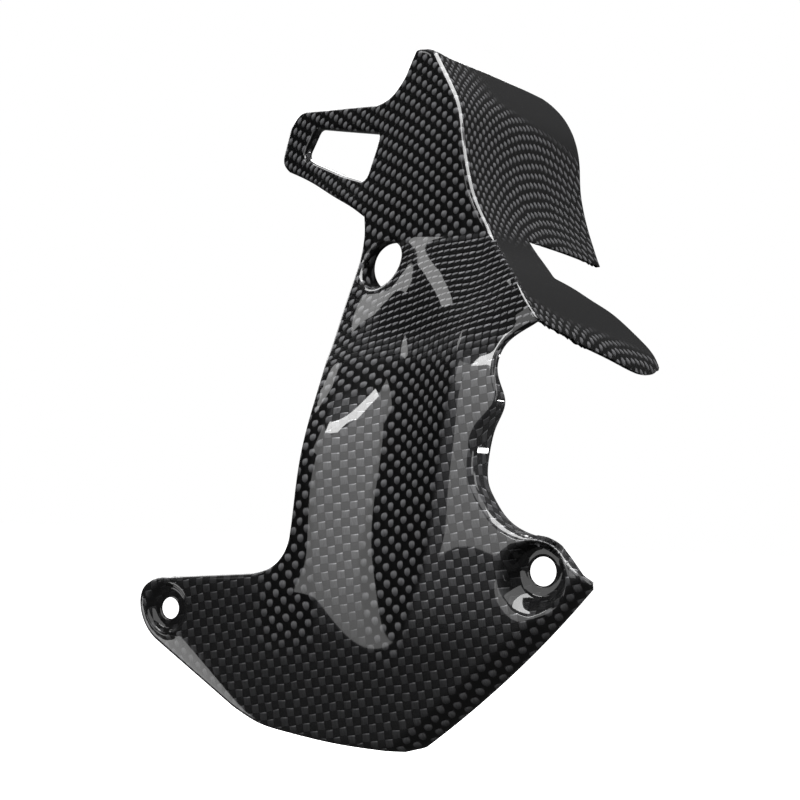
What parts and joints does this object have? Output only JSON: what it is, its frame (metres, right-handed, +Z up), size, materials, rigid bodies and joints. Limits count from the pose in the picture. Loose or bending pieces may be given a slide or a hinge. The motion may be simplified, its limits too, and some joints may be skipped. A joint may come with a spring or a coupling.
{
  "type": "motorcycle sprocket cover",
  "caption": "Glossy woven carbon fibre shell for a motorcycle's front sprocket: a plate with dished bolt seats, a waisted neck, a slotted loop and a swept-back side panel with a tongue.",
  "frame": {"origin": "axis of the main bolt hole, at the floor of its dished seat where the bolt's head bears", "axes": "+X to the right along the plate, +Y back towards the engine along the bolts, +Z up"},
  "size_m": [0.1261, 0.1128, 0.175],
  "materials": {
    "carbon": "clear-coated plain-weave carbon fibre, 2 mm tows"
  },
  "bodies": {
    "root": {"sprocket_cover": "carbon"}
  },
  "joints": []
}
